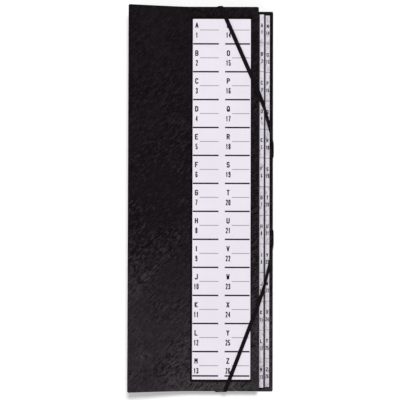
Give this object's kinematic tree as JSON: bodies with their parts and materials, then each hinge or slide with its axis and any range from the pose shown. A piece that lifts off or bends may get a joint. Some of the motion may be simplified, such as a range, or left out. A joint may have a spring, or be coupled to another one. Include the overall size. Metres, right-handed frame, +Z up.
{
  "type": "alphabetical file sorter",
  "caption": "Black desk sorter with lettered dividers on stepped fore-edge tabs, a pleated cloth spine, an index sheet on the front and corner elastics.",
  "frame": {"origin": "middle of the underside, on the surface that the back cover lies on", "axes": "+X from the spine to the fore edge, +Y from the tail to the head, +Z up out of the front cover"},
  "size_m": [0.1216, 0.3232, 0.0305],
  "materials": {
    "cover_leather": "embossed leather grain over board, satin",
    "index_paper": "smooth printed paper",
    "divider_card": "matt black card",
    "tab_paper": "printed paper, matt",
    "spine_cloth": "fine black book cloth",
    "elastic_band": "flat braided elastic"
  },
  "bodies": {
    "back_half": {"back_cover": "cover_leather", "spine_gusset": "spine_cloth", "elastic_head": "elastic_band", "elastic_tail": "elastic_band", "divider_a": "divider_card", "divider_b": "divider_card", "divider_c": "divider_card", "divider_d": "divider_card", "divider_e": "divider_card", "divider_f": "divider_card", "divider_g": "divider_card", "divider_h": "divider_card", "divider_i": "divider_card", "divider_j": "divider_card", "divider_k": "divider_card", "divider_l": "divider_card", "divider_m": "divider_card", "divider_n": "divider_card", "divider_o": "divider_card", "divider_p": "divider_card", "divider_q": "divider_card", "divider_r": "divider_card", "divider_s": "divider_card", "divider_t": "divider_card", "divider_u": "divider_card", "divider_v": "divider_card", "divider_w": "divider_card", "divider_x": "divider_card", "divider_y": "divider_card", "divider_z": "divider_card", "tab_label_a": "tab_paper", "tab_label_b": "tab_paper", "tab_label_c": "tab_paper", "tab_label_d": "tab_paper", "tab_label_e": "tab_paper", "tab_label_f": "tab_paper", "tab_label_g": "tab_paper", "tab_label_h": "tab_paper", "tab_label_i": "tab_paper", "tab_label_j": "tab_paper", "tab_label_k": "tab_paper", "tab_label_l": "tab_paper", "tab_label_m": "tab_paper", "tab_label_n": "tab_paper", "tab_label_o": "tab_paper", "tab_label_p": "tab_paper", "tab_label_q": "tab_paper", "tab_label_r": "tab_paper", "tab_label_s": "tab_paper", "tab_label_t": "tab_paper", "tab_label_u": "tab_paper", "tab_label_v": "tab_paper", "tab_label_w": "tab_paper", "tab_label_x": "tab_paper", "tab_label_y": "tab_paper", "tab_label_z": "tab_paper"},
    "front_half": {"front_cover": "cover_leather", "index_card": "index_paper"}
  },
  "joints": [
    {"name": "front_cover_hinge", "type": "hinge", "parent": "back_half", "child": "front_half", "pos_m": [-0.06075, 0, 0.02842], "axis": [0, -1, 0], "range_deg": [0, 180], "deforming": ["elastic_head", "elastic_tail"]}
  ]
}
